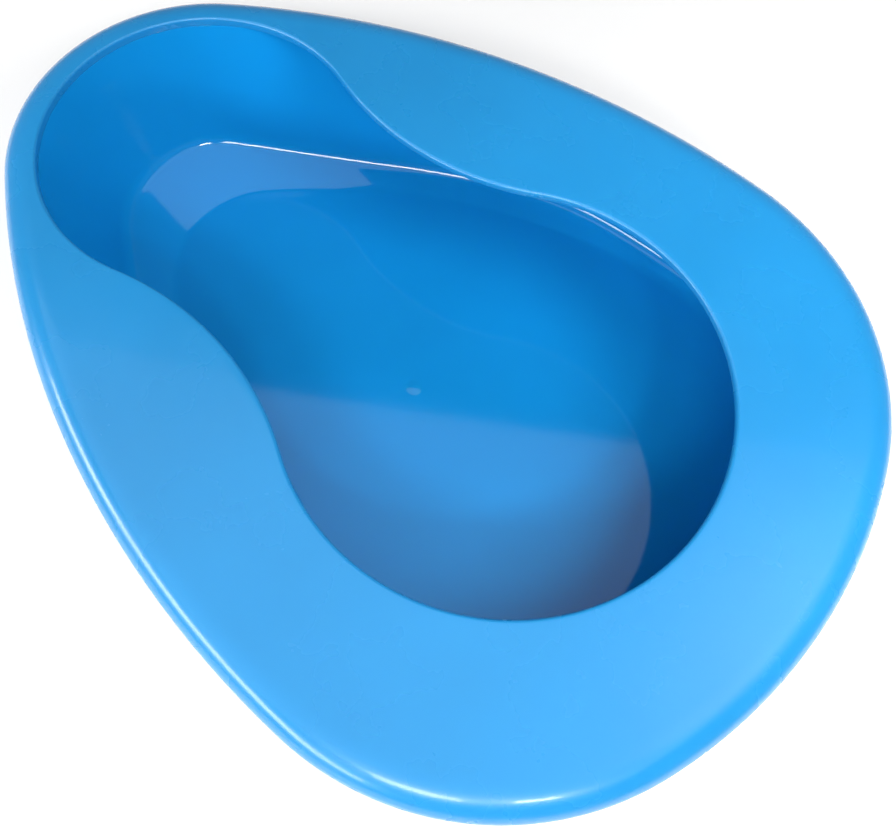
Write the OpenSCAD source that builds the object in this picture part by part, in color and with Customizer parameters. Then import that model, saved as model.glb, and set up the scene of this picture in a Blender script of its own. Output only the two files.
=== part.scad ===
// Contoured bedpan: a keyhole seat welded onto a deep, stepped basin.
// +X points to the wide end, +Z is up, and the base stands on z = 0 under the middle of the rim.

/* [Outline] */
// Length over the rim, from the narrow end to the wide end
pan_l = 410; // [400:1:425]
// Greatest width over the rim
pan_w = 306; // [300:1:312]
// Height from the surface it stands on to the top of the seat
pan_h = 77; // [70:1:95]
// Radius of the narrow end
nose_r = 86; // [82:1:90]
// Radius of the long sides
side_r = 400; // [380:5:440]
// Radius of the two wide corners
corner_r = 121; // [114:1:128]
// Radius of the wide end
end_r = 213; // [205:1:230]

/* [Opening] */
// Width of the rim round the narrow end
nose_rim = 16; // [15:0.5:18]
// Radius of the small lobe, at the narrow end
small_r = 70.5; // [66:0.5:71]
// Radius of the large lobe
large_r = 92; // [84:1:94]
// Distance between the centres of the two lobes
lobe_gap = 174.5; // [168:0.5:180]
// Radius of the waist that joins the lobes
waist_r = 131; // [110:1:150]

/* [Seat] */
// Thickness of the seat
seat_t = 2.6; // [2.2:0.1:3.4]
// Radius of the rolled outer edge
roll_r = 9; // [6:0.5:10]
// Height of the outer skirt, from the top of the seat
skirt_h = 13; // [11:0.5:18]
// Thickness of the skirt
skirt_t = 2.6; // [2:0.1:3.2]
// Height of the lip round the opening, where the seat is wide
lip_h = 3.4; // [3.2:0.1:4.2]
// Thickness of that lip
lip_t = 2.6; // [2:0.1:3]
// How far the seat falls from its crest to the lip, for each millimetre of its width
seat_fall = 0.006; // [0:0.002:0.03]
// Width of the weld land under the seat
land_w = 18; // [17:0.5:22]
// Depth of the weld land, and of the lip where the seat is narrow
land_h = 4.2; // [4.2:0.1:5.4]

/* [Basin] */
// Thickness of the basin
wall_t = 2.4; // [2:0.1:3.2]
// Height of the shoulder above the floor: at the narrow end and along the wide part
shoulder_up = [11, 5]; // [3:0.5:14]
// How far the shoulder lies inside the rim: at the narrow end and along the wide part
shoulder_in = [36.5, 16]; // [15.5:0.5:45]
// Depth of the ledge in the narrow end, from the top of the seat
ledge_z = 38; // [30:1:44]
// Width of that ledge
ledge_w = 1; // [0:0.2:3]
// How much further in the shoulder lies at the middle of the wide end
end_draft = 9; // [0:1:14]
// Height of the foot under the floor
foot_h = 3; // [2:0.5:5]
// Width of the foot
foot_w = 5; // [3:0.5:10]

/* [Floor] */
// Distance from the rim's narrow end to the edge of the floor
floor_nose_gap = 69; // [60:1:72]
// Distance from the rim's wide end to the edge of the floor
floor_end_gap = 40; // [36:1:50]
// Width of the floor
floor_w = 256; // [244:1:260]
// Radius of the floor's narrow end
floor_nose_r = 48; // [40:1:56]
// Radius of its long sides
floor_side_r = 312; // [290:1:340]
// Radius of its two wide corners
floor_corner_r = 75; // [66:1:84]
// Radius of its wide end
floor_end_r = 200; // [180:1:220]

/* [Hidden] */

blue = [0.17, 0.56, 0.90];
deep_blue = [0.05, 0.42, 0.82];

// Segments along the narrow end, a long side, a wide corner and half of the wide end
steps = [8, 20, 10, 5];
lip_r = 1.5;
weld_gap = 0.2;
// Tongue on the basin's flange, and the groove in the weld land that takes it
tongue_in = 6;
tongue_w = 2.4;
tongue_h = 1.4;
flange_t = 2.8;
// The basin's wall starts this far inside the rim, flush with the lip of the narrow end
wall_in = nose_rim;
floor_z = pan_h - foot_h - wall_t;
// The foot stands this far inside the edge of the floor, and is cut flat at z = 0
foot_gap = 6;
trim = 1;

// ---- egg outlines: four tangent arcs for each half, listed from the narrow end to the wide end ----

// The point at distance rp from p and rq from q: to the right of the way from p to q where side is 1,
// and to its left where side is -1
function meet(p, rp, q, rq, side) =
    let (l = norm(q - p), e = (q - p) / l, t = (rp * rp - rq * rq + l * l) / (2 * l))
    p + t * e + side * sqrt(rp * rp - t * t) * [e.y, -e.x];

function heading(from, to) = atan2(to.y - from.y, to.x - from.x);

// Points of an arc as [x, y, direction of the outward normal], without its last point
function arc(c, r, from, to, n) =
    [for (k = [0 : n - 1]) let (a = from + (to - from) * k / n) [c.x + r * cos(a), c.y + r * sin(a), a]];

function egg(tip, end, w, nose_r, side_r, corner_r, end_r) =
    let (nose_c = [tip + nose_r, 0], end_c = [end - end_r, 0], corner_y = w / 2 - corner_r,
         corner_c = [end_c.x + sqrt(pow(end_r - corner_r, 2) - corner_y * corner_y), corner_y],
         side_c = meet(nose_c, side_r - nose_r, corner_c, side_r - corner_r, 1),
         side_start = heading(side_c, nose_c), side_end = heading(side_c, corner_c),
         corner_end = heading(end_c, corner_c),
         half = concat(
             arc(nose_c, nose_r, 180, side_start, steps[0]),
             arc(side_c, side_r, side_start, side_end, steps[1]),
             arc(corner_c, corner_r, side_end, corner_end, steps[2]),
             arc(end_c, end_r, corner_end, 0, steps[3]),
             [[end, 0, 0]]))
    concat(half, [for (k = [len(half) - 2 : -1 : 1]) [half[k].x, -half[k].y, -half[k][2]]]);

rim = egg(-pan_l / 2, pan_l / 2, pan_w, nose_r, side_r, corner_r, end_r);
floor_edge = egg(floor_nose_gap - pan_l / 2, pan_l / 2 - floor_end_gap, floor_w,
    floor_nose_r, floor_side_r, floor_corner_r, floor_end_r);
spokes = len(rim);

// ---- opening: two round lobes and the two arcs of the waist ----

small_c = [nose_rim + small_r - pan_l / 2, 0];
large_c = small_c + [lobe_gap, 0];
waist_c = meet(small_c, small_r + waist_r, large_c, large_r + waist_r, -1);
small_join = small_c.x + small_r * cos(heading(small_c, waist_c));
large_join = large_c.x + large_r * cos(heading(large_c, waist_c));

// Distance from p along n to a circle: its near side where way is -1, its far side where way is 1
function to_circle(p, n, c, r, way) =
    let (b = (p - c) * n, q = b * b - (p - c) * (p - c) + r * r) q < 0 ? 10 * pan_l : way * sqrt(q) - b;

// Width of the seat at a point of the rim, measured square to the rim
function seat_width(o) =
    let (p = [o.x, abs(o.y)], n = -[cos(o[2]), abs(sin(o[2]))],
         small = to_circle(p, n, small_c, small_r, -1),
         large = to_circle(p, n, large_c, large_r, -1))
    small < pan_l && p.x + n.x * small < small_join ? small :
    large < pan_l && p.x + n.x * large > large_join ? large :
    to_circle(p, n, waist_c, waist_r, 1);

function inset(o, d) = [o.x - d * cos(o[2]), o.y - d * sin(o[2])];

// ---- sections ----

function mix(a, b, t) = a + (b - a) * t;
function ease(from, to, v) = let (t = max(0, min(1, (v - from) / (to - from)))) t * t * (3 - 2 * t);

// The seat's closed section at a point of the rim, as [distance inside the rim, height]
function seat_section(o) =
    let (w = seat_width(o), fall = seat_fall * max(0, w - nose_rim),
         land = min(land_w, w - lip_t - 0.5),
         wide = ease(land_w, land_w + 12, w),
         lip = mix(land_h, lip_h, wide), vault = mix(land_h, seat_t + fall, wide),
         groove = tongue_h + weld_gap)
    [
        [0, -skirt_h],
        for (a = [0 : 22.5 : 90]) [roll_r * (1 - cos(a)), roll_r * (sin(a) - 1)],
        [mix(roll_r, w - lip_r, 0.5), -fall * 0.35],
        for (a = [90 : -45 : 0]) [w - lip_r * (1 - cos(a)), -fall - lip_r * (1 - sin(a))],
        [w, -lip - fall],
        [w - lip_t, -lip - fall],
        [w - lip_t - 0.2, -vault],
        [land + 0.1, -vault],
        [land, -land_h],
        [tongue_in + tongue_w + weld_gap, -land_h],
        [tongue_in + tongue_w + weld_gap, groove - land_h],
        [tongue_in - weld_gap, groove - land_h],
        [tongue_in - weld_gap, -land_h],
        [skirt_t, -land_h],
        [skirt_t, -skirt_h]
    ];

// The share of the pan's length at which a point of the rim lies, from the narrow end
function along(o) = o.x / pan_l + 0.5;

// How far inside the rim and how deep the basin's shoulder lies, at a point of the rim
function shoulder_at(o) =
    mix(shoulder_in[0], shoulder_in[1], ease(0.12, 0.56, along(o))) + end_draft * ease(0.8, 1, along(o));
function shoulder_z(o) = floor_z - mix(shoulder_up[0], shoulder_up[1], ease(0, 0.25, along(o)));

// Half the width of the ledge, which runs out along the sides
function ledge_at(o) = ledge_w / 2 * (1 - ease(0.15, 0.5, along(o)));

// The three places where a point of the basin's section can be: d inside the rim, a share t of the way from
// there to the edge of the floor, or d inside the edge of the floor. z is its height
function wall(d, z) = [d, z, 0, 0];
function slope(d, z, t) = [d, z, t, 0];
function base(d, z) = [0, z, 1, d];

// The basin's section at a point of the rim, from the top of the floor over the flange to the underside
function basin_section(o) =
    let (s = shoulder_at(o), deep = shoulder_z(o), ledge = ledge_at(o),
         mid = mix(wall_in, s, (ledge_z - land_h) / (deep - land_h)),
         flange_z = -land_h - flange_t, under_z = -floor_z - wall_t)
    [
        base(0, -floor_z),
        slope(s, mix(-deep, -floor_z, 0.3), 0.3),
        wall(s + 1.2, 0.8 - deep),
        wall(s - 0.6, 5 - deep),
        wall(mid + ledge, -ledge_z - 1.5),
        wall(mid - ledge, 1.5 - ledge_z),
        wall(wall_in, -land_h),
        wall(tongue_in + tongue_w, -land_h),
        wall(tongue_in + tongue_w, tongue_h - land_h),
        wall(tongue_in, tongue_h - land_h),
        wall(tongue_in, -land_h),
        wall(skirt_t + weld_gap, -land_h),
        wall(skirt_t + weld_gap, flange_z),
        wall(wall_in - wall_t - 1.5, flange_z),
        wall(wall_in - wall_t, flange_z - 1.5),
        wall(mid - wall_t - ledge, 0.8 - ledge_z),
        wall(mid - wall_t + ledge, -ledge_z - 2.2),
        wall(s - wall_t - 0.6, 4 - deep),
        wall(s - wall_t + 1.2, -deep - 0.8),
        slope(s, mix(-deep, -floor_z, 0.3) - wall_t, 0.3),
        base(0, under_z),
        base(foot_gap, under_z),
        base(foot_gap, -pan_h - trim),
        base(foot_gap + foot_w, -pan_h - trim),
        base(foot_gap + foot_w, under_z)
    ];

// ---- skins: one ring of points for each point of a section, one section for each point of the rim ----

// Triangles between each section and the next one; a closed section joins its last point to its first
function skin(n, closed) =
    [for (i = [0 : spokes - 1], j = [0 : n - (closed ? 1 : 2)])
        let (i2 = (i + 1) % spokes, j2 = (j + 1) % n,
             a = i * n + j, b = i * n + j2, c = i2 * n + j, d = i2 * n + j2)
        each [[a, c, b], [b, c, d]]];

// The flat face that point j of every section makes, in strips from one side of the pan to the other
function cap(n, j) =
    [for (i = [0 : spokes / 2 - 1], strip = [
        if (i < spokes / 2 - 1) [i, i + 1, spokes - i - 1],
        if (i > 0) [i, spokes - i - 1, spokes - i]
    ]) strip * n + [j, j, j]];
function turned(faces) = [for (f = faces) [f[2], f[1], f[0]]];

module seat() {
    sections = [for (o = rim) seat_section(o)];
    points = [for (i = [0 : spokes - 1])
        each [for (p = sections[i]) concat(inset(rim[i], p[0]), pan_h + p[1])]];
    color(blue) polyhedron(points, skin(len(sections[0]), true), convexity = 8);
}

module basin() {
    sections = [for (o = rim) basin_section(o)];
    n = len(sections[0]);
    points = [for (i = [0 : spokes - 1]) each [for (p = sections[i])
        concat(mix(inset(rim[i], p[0]), inset(floor_edge[i], p[3]), p[2]), pan_h + p[1])]];
    faces = concat(turned(skin(n, false)), cap(n, 0), turned(cap(n, n - 1)));
    color(deep_blue) difference() {
        polyhedron(points, faces, convexity = 8);
        translate([-pan_l / 2, -pan_w / 2, -2 * trim]) cube([pan_l, pan_w, 2 * trim]);
    }
}

seat();
basin();
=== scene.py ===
import math

import bpy
import numpy as np
from mathutils import Matrix, Vector


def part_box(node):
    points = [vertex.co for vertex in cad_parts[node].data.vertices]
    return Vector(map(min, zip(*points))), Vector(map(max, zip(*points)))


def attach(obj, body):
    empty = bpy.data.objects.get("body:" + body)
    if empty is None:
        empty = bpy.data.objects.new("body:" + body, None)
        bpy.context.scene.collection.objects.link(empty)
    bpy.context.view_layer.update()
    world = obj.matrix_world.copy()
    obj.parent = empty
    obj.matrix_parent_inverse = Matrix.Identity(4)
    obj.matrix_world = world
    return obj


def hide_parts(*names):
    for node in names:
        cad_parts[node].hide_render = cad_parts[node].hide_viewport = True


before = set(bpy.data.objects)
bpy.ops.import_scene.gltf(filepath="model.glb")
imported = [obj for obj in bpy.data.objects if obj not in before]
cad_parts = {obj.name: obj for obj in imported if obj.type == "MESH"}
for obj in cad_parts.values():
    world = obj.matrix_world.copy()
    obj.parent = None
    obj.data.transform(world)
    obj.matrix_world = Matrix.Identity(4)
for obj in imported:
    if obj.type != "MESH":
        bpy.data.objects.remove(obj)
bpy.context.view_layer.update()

# A contoured bedpan in glossy blue polypropylene: a keyhole seat welded onto a deep, stepped basin.
# Both shells are swept round the rim like the CAD parts, with finer steps and rounded edges.
# Lengths are in millimetres down to the meshes, which are in metres.

MM = 0.001

rim_low, rim_high = (np.array(corner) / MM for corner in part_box("seat"))
PAN_L = rim_high[0] - rim_low[0]
PAN_W = rim_high[1] - rim_low[1]
PAN_H = 77.0
NOSE_R, SIDE_R, CORNER_R, END_R = 86.0, 400.0, 121.0, 213.0

NOSE_RIM = 16.0
SMALL_R, LARGE_R, LOBE_GAP, WAIST_R = 70.5, 92.0, 174.5, 131.0

SEAT_T, ROLL_R, ROLL_IN, SKIRT_H, SKIRT_T = 2.6, 9.0, 13.0, 13.0, 2.6
LIP_H, LIP_T, LIP_R = 3.4, 2.6, 1.5
SEAT_FALL, LAND_W, LAND_H = 0.006, 18.0, 4.2

WALL_T, LEDGE_Z, LEDGE_W = 2.4, 38.0, 1.0
SHOULDER_UP, SHOULDER_IN, END_DRAFT = (11.0, 5.0), (36.5, 16.0), 9.0
FOOT_H, FOOT_W, FOOT_GAP = 3.0, 5.0, 6.0
FLOOR_NOSE_GAP, FLOOR_END_GAP, FLOOR_W = 69.0, 40.0, 256.0
FLOOR_NOSE_R, FLOOR_SIDE_R, FLOOR_CORNER_R, FLOOR_END_R = 48.0, 312.0, 75.0, 200.0

WELD_GAP, TONGUE_IN, TONGUE_W, TONGUE_H, FLANGE_T = 0.2, 6.0, 2.4, 1.4, 2.8
WALL_IN = NOSE_RIM
FLOOR_Z = PAN_H - FOOT_H - WALL_T

GATE_AT, GATE_R, GATE_H, GATE_SUNK, GATE_EDGE_SUNK = (9.0, -2.0), 4.5, 0.3, 0.3, 0.01
GATE_STEPS, GATE_RINGS = 32, 10

# Steps along the narrow end, a long side, a wide corner and half of the wide end
STEPS = (34, 90, 44, 22)
# Steps round each rounded corner of a section, the longest straight step between corners, and the
# shortest cut at a corner as a share of its radius, which keeps a nearly straight corner's points apart
ARC_STEPS, LONGEST, LEAST_CUT = 8, 3.0, 0.1
# A corner is never cut back past this share of its shorter neighbouring stretch
MOST_CUT = 0.49


# ---- egg outlines and the keyhole ----

def meet(p, rp, q, rq, side):
    """The point rp from p and rq from q, to the right (side 1) or left (side -1) of the way from p to q."""
    gap = np.linalg.norm(q - p)
    e = (q - p) / gap
    t = (rp * rp - rq * rq + gap * gap) / (2 * gap)
    return p + t * e + side * math.sqrt(rp * rp - t * t) * np.array([e[1], -e[0]])


def heading(start, end):
    return math.atan2(end[1] - start[1], end[0] - start[0])


def arc(c, r, start, end, n):
    """Points of an arc as rows of x, y, direction of the outward normal, without its last point."""
    a = start + (end - start) * np.arange(n) / n
    return np.column_stack([c[0] + r * np.cos(a), c[1] + r * np.sin(a), a])


def egg(tip, end, w, nose_r, side_r, corner_r, end_r):
    """Four tangent arcs for each half, from the narrow end to the wide end and back."""
    nose_c, end_c = np.array([tip + nose_r, 0.0]), np.array([end - end_r, 0.0])
    corner_y = w / 2 - corner_r
    corner_c = np.array([end_c[0] + math.sqrt((end_r - corner_r) ** 2 - corner_y ** 2), corner_y])
    side_c = meet(nose_c, side_r - nose_r, corner_c, side_r - corner_r, 1)
    side_start = heading(side_c, nose_c)
    side_end = heading(side_c, corner_c)
    corner_end = heading(end_c, corner_c)
    half = np.vstack([
        arc(nose_c, nose_r, math.pi, side_start, STEPS[0]),
        arc(side_c, side_r, side_start, side_end, STEPS[1]),
        arc(corner_c, corner_r, side_end, corner_end, STEPS[2]),
        arc(end_c, end_r, corner_end, 0.0, STEPS[3]),
        [[end, 0.0, 0.0]],
    ])
    return np.vstack([half, half[-2:0:-1] * [1, -1, -1]])


rim = egg(-PAN_L / 2, PAN_L / 2, PAN_W, NOSE_R, SIDE_R, CORNER_R, END_R)
floor_edge = egg(FLOOR_NOSE_GAP - PAN_L / 2, PAN_L / 2 - FLOOR_END_GAP, FLOOR_W,
                 FLOOR_NOSE_R, FLOOR_SIDE_R, FLOOR_CORNER_R, FLOOR_END_R)
ALONG = rim[:, 0] / PAN_L + 0.5

small_c = np.array([NOSE_RIM + SMALL_R - PAN_L / 2, 0.0])
large_c = small_c + [LOBE_GAP, 0.0]
waist_c = meet(small_c, SMALL_R + WAIST_R, large_c, LARGE_R + WAIST_R, -1)
small_join = small_c[0] + SMALL_R * math.cos(heading(small_c, waist_c))
large_join = large_c[0] + LARGE_R * math.cos(heading(large_c, waist_c))


def to_circle(p, n, c, r, way):
    """Distance from p along n to a circle's near side (way -1) or far side (way 1), or None."""
    b = (p - c) @ n
    q = b * b - (p - c) @ (p - c) + r * r
    return None if q < 0 else way * math.sqrt(q) - b


def seat_width(x, y, a):
    p, n = np.array([x, abs(y)]), -np.array([math.cos(a), abs(math.sin(a))])
    small = to_circle(p, n, small_c, SMALL_R, -1)
    large = to_circle(p, n, large_c, LARGE_R, -1)
    if small is not None and p[0] + n[0] * small < small_join:
        return small
    if large is not None and p[0] + n[0] * large > large_join:
        return large
    return to_circle(p, n, waist_c, WAIST_R, 1)


WIDTH = np.array([seat_width(*o) for o in rim])


def mix(a, b, t):
    return a + (b - a) * t


def ease(start, end, v):
    t = np.clip((v - start) / (end - start), 0, 1)
    return t * t * (3 - 2 * t)


# ---- places: arrays with one point for each step of the rim ----

def inset(outline, d):
    a = outline[:, 2]
    return outline[:, :2] - np.column_stack([np.cos(a), np.sin(a)]) * np.reshape(d, (-1, 1))


def place(d, z, t=0.0, floor_d=0.0):
    """d inside the rim, a share t of the way to floor_d inside the floor's edge; z is from the top."""
    flat = mix(inset(rim, d), inset(floor_edge, floor_d), t)
    return np.column_stack([flat, np.broadcast_to(PAN_H + z, len(rim))])


def wall(d, z):
    return place(d, z)


def base(d, z):
    return place(0.0, z, 1.0, d)


# ---- sections: corners with the radius that each is rounded to ----

def seat_section():
    w = WIDTH
    fall = SEAT_FALL * np.maximum(0, w - NOSE_RIM)
    land = np.minimum(LAND_W, w - LIP_T - 0.5)
    wide = ease(LAND_W, LAND_W + 12, w)
    lip, vault = mix(LAND_H, LIP_H, wide), mix(LAND_H, SEAT_T + fall, wide)
    groove = TONGUE_H + WELD_GAP
    groove_in, groove_out = TONGUE_IN + TONGUE_W + WELD_GAP, TONGUE_IN - WELD_GAP
    return [
        (wall(0, -SKIRT_H), 0.9),
        (wall(0, 0), (ROLL_R, ROLL_IN)),
        (wall(mix(ROLL_IN, w - LIP_R, 0.5), -fall * 0.35), 5),
        (wall(w, -fall), LIP_R),
        (wall(w, -lip - fall), 0.4),
        (wall(w - LIP_T, -lip - fall), 0.4),
        (wall(w - LIP_T - 0.2, -vault), 0.8),
        (wall(land + 0.1, -vault), 0.5),
        (wall(land, -LAND_H), 0.2),
        (wall(groove_in, -LAND_H), 0.1),
        (wall(groove_in, groove - LAND_H), 0.1),
        (wall(groove_out, groove - LAND_H), 0.1),
        (wall(groove_out, -LAND_H), 0.1),
        (wall(SKIRT_T, -LAND_H), 0.3),
        (wall(SKIRT_T, -SKIRT_H), 0.9),
    ]


def basin_section():
    s = mix(SHOULDER_IN[0], SHOULDER_IN[1], ease(0.12, 0.56, ALONG)) + END_DRAFT * ease(0.8, 1, ALONG)
    deep = FLOOR_Z - mix(SHOULDER_UP[0], SHOULDER_UP[1], ease(0, 0.25, ALONG))
    ledge = LEDGE_W / 2 * (1 - ease(0.15, 0.5, ALONG))
    mid = mix(WALL_IN, s, (LEDGE_Z - LAND_H) / (deep - LAND_H))
    flange_z, under_z = -LAND_H - FLANGE_T, -FLOOR_Z - WALL_T
    return [
        (base(12, -FLOOR_Z), 0),
        (base(0, -FLOOR_Z), 9),
        (wall(s, -deep), 10),
        (wall(mid + ledge, -LEDGE_Z - 1.5), 5),
        (wall(mid - ledge, 1.5 - LEDGE_Z), 5),
        (wall(WALL_IN, -LAND_H), 0.1),
        (wall(TONGUE_IN + TONGUE_W, -LAND_H), 0.1),
        (wall(TONGUE_IN + TONGUE_W, TONGUE_H - LAND_H), 0.2),
        (wall(TONGUE_IN, TONGUE_H - LAND_H), 0.2),
        (wall(TONGUE_IN, -LAND_H), 0.1),
        (wall(SKIRT_T + WELD_GAP, -LAND_H), 0.3),
        (wall(SKIRT_T + WELD_GAP, flange_z), 0.5),
        (wall(WALL_IN - WALL_T - 1.5, flange_z), 0.5),
        (wall(WALL_IN - WALL_T, flange_z - 1.5), 3),
        (wall(mid - WALL_T - ledge, 0.8 - LEDGE_Z), 5),
        (wall(mid - WALL_T + ledge, -LEDGE_Z - 2.2), 5),
        (wall(s - WALL_T, -deep - WALL_T / 2), 10),
        (base(0, under_z), 9),
        (base(FOOT_GAP, under_z), 0.6),
        (base(FOOT_GAP, -PAN_H), 1.2),
        (base(FOOT_GAP + FOOT_W, -PAN_H), 1.2),
        (base(FOOT_GAP + FOOT_W, under_z), 0.8),
        (base(FOOT_GAP + FOOT_W + 3, under_z), 0),
    ]


# ---- meshes ----

def unit(v):
    return v / np.maximum(np.linalg.norm(v, axis=-1, keepdims=True), 1e-9)


def rounded(section, closed):
    """The section with every corner turned into an arc and every straight stretch cut into short ones.

    A corner's number is its radius. A pair is how far its curve reaches back and ahead.
    """
    points = [p for p, _ in section]
    n = len(points)
    out = []
    ends = []
    for k, (p, r) in enumerate(section):
        if r == 0 or (not closed and k in (0, n - 1)):
            ends.append((p, p, [p]))
            continue
        back, ahead = points[k - 1] - p, points[(k + 1) % n] - p
        half_turn = (np.pi - np.arccos(np.clip((unit(back) * unit(ahead)).sum(1), -1, 1))) / 2
        reach = np.minimum(np.linalg.norm(back, axis=1), np.linalg.norm(ahead, axis=1)) * MOST_CUT
        if isinstance(r, tuple):
            cut, far = r
        else:
            cut = far = np.minimum(np.maximum(r * np.tan(half_turn), LEAST_CUT * r), reach)[:, None]
        start, end = p + unit(back) * cut, p + unit(ahead) * far
        weight = np.cos(half_turn)[:, None]
        bend = []
        for t in np.linspace(0, 1, ARC_STEPS + 1):
            a, b, c = (1 - t) ** 2, 2 * t * (1 - t) * weight, t * t
            bend.append((a * start + b * p + c * end) / (a + b + c))
        ends.append((start, end, bend))
    for k, (_, end, bend) in enumerate(ends):
        out.extend(bend)
        if not closed and k == n - 1:
            break
        following = ends[(k + 1) % n][0]
        span = np.linalg.norm(following - end, axis=1).max()
        for t in np.linspace(0, 1, max(2, int(span / LONGEST) + 2))[1:-1]:
            out.append(mix(end, following, t))
    return np.stack(out, axis=1)


def shell(name, points, closed):
    """A mesh of quads from points[step of the rim, point of the section]; open sections get two flat caps."""
    spokes, n = points.shape[:2]
    i, j = np.meshgrid(np.arange(spokes), np.arange(n if closed else n - 1), indexing="ij")
    i2, j2 = (i + 1) % spokes, (j + 1) % n
    quads = np.stack([i * n + j, i * n + j2, i2 * n + j2, i2 * n + j], axis=-1).reshape(-1, 4)
    faces = quads.tolist() if closed else quads[:, ::-1].tolist()
    if not closed:
        for j, turn in ((0, -1), (n - 1, 1)):
            for i in range(spokes // 2):
                ring = [i, i + 1, spokes - i - 1, (spokes - i) % spokes]
                corners = list(dict.fromkeys(ring))[::turn]
                faces.append([c * n + j for c in corners])
    mesh = bpy.data.meshes.new(name)
    mesh.from_pydata((points.reshape(-1, 3) * MM).tolist(), [], faces)
    mesh.shade_smooth()
    mesh.validate()
    mesh.update()
    piece = bpy.data.objects.new(name, mesh)
    bpy.context.scene.collection.objects.link(piece)
    return piece


def gate_mark(name):
    """The low round pip in the middle of the floor where the plastic was fed into the mould."""
    around = math.pi - np.arange(GATE_STEPS) * math.tau / GATE_STEPS
    rings = []
    for share in np.linspace(1 / GATE_RINGS, 1, GATE_RINGS):
        rise = GATE_H * math.cos(share * math.pi / 2) ** 2
        rings.append((share * GATE_R, rise - GATE_EDGE_SUNK))
    rings.append((GATE_R, -GATE_SUNK))
    points = [np.column_stack([GATE_AT[0] + r * np.cos(around), GATE_AT[1] + r * np.sin(around),
                               np.full(GATE_STEPS, PAN_H - FLOOR_Z + z)]) for r, z in rings]
    return shell(name, np.stack(points, axis=1), False)


# ---- materials ----

def plastic(name, colour, rough, polish=0.0):
    """Glossy moulded polypropylene: faint flow mottling, uneven gloss, orange peel and hairline scratches."""
    material = bpy.data.materials.new(name)
    material.use_nodes = True
    tree = material.node_tree
    nodes, links = tree.nodes, tree.links
    shader = nodes["Principled BSDF"]
    shader.inputs["IOR"].default_value = 1.49
    shader.inputs["Coat Weight"].default_value = polish
    shader.inputs["Coat Roughness"].default_value = 0.06
    shader.inputs["Subsurface Weight"].default_value = 0.12
    shader.inputs["Subsurface Radius"].default_value = (0.2, 0.6, 1.0)
    shader.inputs["Subsurface Scale"].default_value = 0.004

    coords = nodes.new("ShaderNodeTexCoord")

    def noise(scale, detail, stretch=(1, 1, 1), turn=0.0):
        mapping = nodes.new("ShaderNodeMapping")
        mapping.inputs["Scale"].default_value = stretch
        mapping.inputs["Rotation"].default_value = (0, 0, turn)
        texture = nodes.new("ShaderNodeTexNoise")
        texture.inputs["Scale"].default_value = scale
        texture.inputs["Detail"].default_value = detail
        links.new(coords.outputs["Object"], mapping.inputs["Vector"])
        links.new(mapping.outputs["Vector"], texture.inputs["Vector"])
        return texture.outputs["Fac"]

    def ranged(value, low, high, to_low, to_high):
        node = nodes.new("ShaderNodeMapRange")
        sockets = ("From Min", "From Max", "To Min", "To Max")
        for socket, number in zip(sockets, (low, high, to_low, to_high)):
            node.inputs[socket].default_value = number
        links.new(value, node.inputs["Value"])
        return node.outputs["Result"]

    mottle = nodes.new("ShaderNodeMix")
    mottle.data_type = "RGBA"
    mottle.inputs["A"].default_value = (*[c * 0.94 for c in colour], 1)
    mottle.inputs["B"].default_value = (*[min(1, c * 1.04) for c in colour], 1)
    links.new(ranged(noise(9, 3), 0.35, 0.65, 0, 1), mottle.inputs["Factor"])
    links.new(mottle.outputs["Result"], shader.inputs["Base Color"])

    links.new(ranged(noise(30, 4), 0.3, 0.7, rough * 0.85, rough * 1.2), shader.inputs["Roughness"])

    scratches = ranged(noise(60, 2, (1, 22, 1), 0.5), 0.70, 0.76, 0, 1)
    peel = noise(220, 2)
    height = nodes.new("ShaderNodeMath")
    height.operation = "MULTIPLY_ADD"
    height.inputs[1].default_value = -0.12
    links.new(scratches, height.inputs[0])
    links.new(peel, height.inputs[2])
    bump = nodes.new("ShaderNodeBump")
    bump.inputs["Strength"].default_value = 0.015
    bump.inputs["Distance"].default_value = 0.0005
    links.new(height.outputs["Value"], bump.inputs["Height"])
    links.new(bump.outputs["Normal"], shader.inputs["Normal"])
    return material


def floor_material():
    material = bpy.data.materials.new("studio_floor")
    material.use_nodes = True
    shader = material.node_tree.nodes["Principled BSDF"]
    shader.inputs["Base Color"].default_value = (0.95, 0.95, 0.95, 1)
    shader.inputs["Roughness"].default_value = 0.9
    shader.inputs["Specular IOR Level"].default_value = 0.1
    return material


# ---- stage, lights and camera ----

def studio_floor():
    mesh = bpy.data.meshes.new("studio_floor")
    half = 8.0
    corners = [(-half, -half, 0), (half, -half, 0), (half, half, 0), (-half, half, 0)]
    mesh.from_pydata(corners, [], [(0, 1, 2, 3)])
    floor = bpy.data.objects.new("studio_floor", mesh)
    bpy.context.scene.collection.objects.link(floor)
    mesh.materials.append(floor_material())
    return floor


WHITE = (1.0, 0.99, 0.97)
PAN_MIDDLE = (0, 0, 0.05)


def area_light(name, size, watts, colour):
    data = bpy.data.lights.new(name, "AREA")
    data.shape = "RECTANGLE"
    data.size, data.size_y = size
    data.energy = watts
    data.color = colour
    light = bpy.data.objects.new(name, data)
    bpy.context.scene.collection.objects.link(light)
    return light


def softbox(name, spot, target, size, watts):
    """A rectangular soft light at spot, in metres, turned to face target."""
    light = area_light(name, size, watts, WHITE)
    back = Vector(spot) - Vector(target)
    light.rotation_euler = back.to_track_quat("Z", "Y").to_euler()
    light.location = spot
    return light


def ceiling(name, edge, heading_deg, size, height, watts, colour):
    """A level softbox overhead, placed by the middle of one long edge and the way that this edge faces."""
    light = area_light(name, size, watts, colour)
    out = math.radians(heading_deg)
    light.location = (edge[0] - math.cos(out) * size[1] / 2, edge[1] - math.sin(out) * size[1] / 2, height)
    light.rotation_euler = (0, 0, out - math.pi / 2)


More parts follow.
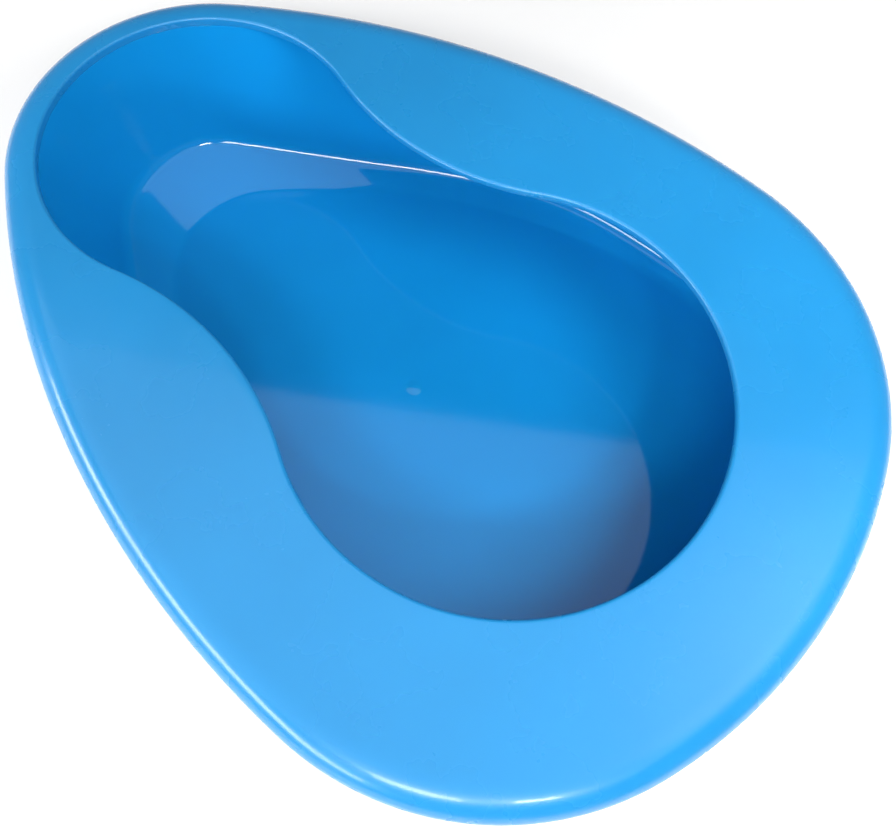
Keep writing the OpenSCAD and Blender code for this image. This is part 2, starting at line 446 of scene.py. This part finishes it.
def sky(zenith, horizon, strength):
    """A plain studio surround, darker overhead than at the horizon."""
    world = bpy.data.worlds.new("sky")
    bpy.context.scene.world = world
    world.use_nodes = True
    nodes, links = world.node_tree.nodes, world.node_tree.links
    coords = nodes.new("ShaderNodeTexCoord")
    split = nodes.new("ShaderNodeSeparateXYZ")
    ramp = nodes.new("ShaderNodeMix")
    ramp.data_type = "RGBA"
    ramp.inputs["A"].default_value = (*horizon, 1)
    ramp.inputs["B"].default_value = (*zenith, 1)
    links.new(coords.outputs["Generated"], split.inputs["Vector"])
    links.new(split.outputs["Z"], ramp.inputs["Factor"])
    background = nodes["Background"]
    links.new(ramp.outputs["Result"], background.inputs["Color"])
    background.inputs["Strength"].default_value = strength


CAMERA_AT = (0.1248, -0.1315, 0.402)
CAMERA_AZIMUTH, CAMERA_ELEVATION, CAMERA_ROLL = 36.03, 68.08, -5.28
SENSOR_MM, LENS_MM, NEAR_CLIP = 36, 36.16, 0.01


def camera():
    """Looks steeply down past the near side of the wide end, close enough for a clear perspective."""
    azimuth, elevation = math.radians(CAMERA_AZIMUTH), math.radians(CAMERA_ELEVATION)
    roll = math.radians(CAMERA_ROLL)
    back = Vector((math.sin(azimuth) * math.cos(elevation), -math.cos(azimuth) * math.cos(elevation),
                   math.sin(elevation)))
    level = (-back).cross(Vector((0, 0, 1))).normalized()
    down = (-back).cross(level)
    right = level * math.cos(roll) + down * math.sin(roll)
    up = level * math.sin(roll) - down * math.cos(roll)
    data = bpy.data.cameras.new("camera")
    data.sensor_width = SENSOR_MM
    data.lens = LENS_MM
    data.clip_start = NEAR_CLIP
    view = bpy.data.objects.new("camera", data)
    turn = Matrix((right, up, back)).transposed().to_4x4()
    view.matrix_world = Matrix.Translation(CAMERA_AT) @ turn
    bpy.context.scene.collection.objects.link(view)
    bpy.context.scene.camera = view


seat = shell("seat_shell", rounded(seat_section(), True), True)
seat.data.materials.append(plastic("seat_plastic", (0.014, 0.235, 0.54), 0.26, 0.25))
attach(seat, "root")
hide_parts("seat")

basin = shell("basin_shell", rounded(basin_section(), False), False)
basin_plastic = plastic("basin_plastic", (0.004, 0.23, 0.58), 0.06)
basin.data.materials.append(basin_plastic)
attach(basin, "root")
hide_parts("basin")

pip = gate_mark("gate_mark")
pip.data.materials.append(basin_plastic)
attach(pip, "root")

studio_floor()
sky((0.01, 0.03, 0.06), (0.75, 0.82, 0.92), 0.35)
ceiling("overhead", (-0.64, 0.52), 122.8, (3.6, 2.4), 2.0, 27, (1.0, 0.98, 0.95))
softbox("front", (-0.35, -1.08, 0.52), PAN_MIDDLE, (1.6, 0.20), 14)
softbox("side", (0.48, -0.85, 1.05), PAN_MIDDLE, (0.38, 0.19), 5)
softbox("rim", (0.81, -0.52, 1.05), PAN_MIDDLE, (0.16, 0.11), 3)
fill = softbox("fill", (0.34, 0.12, 0.42), (0.15, 0.05, 0.05), (0.25, 0.25), 2.0)
fill.visible_glossy = False
camera()
bpy.context.scene.view_settings.view_transform = "Standard"
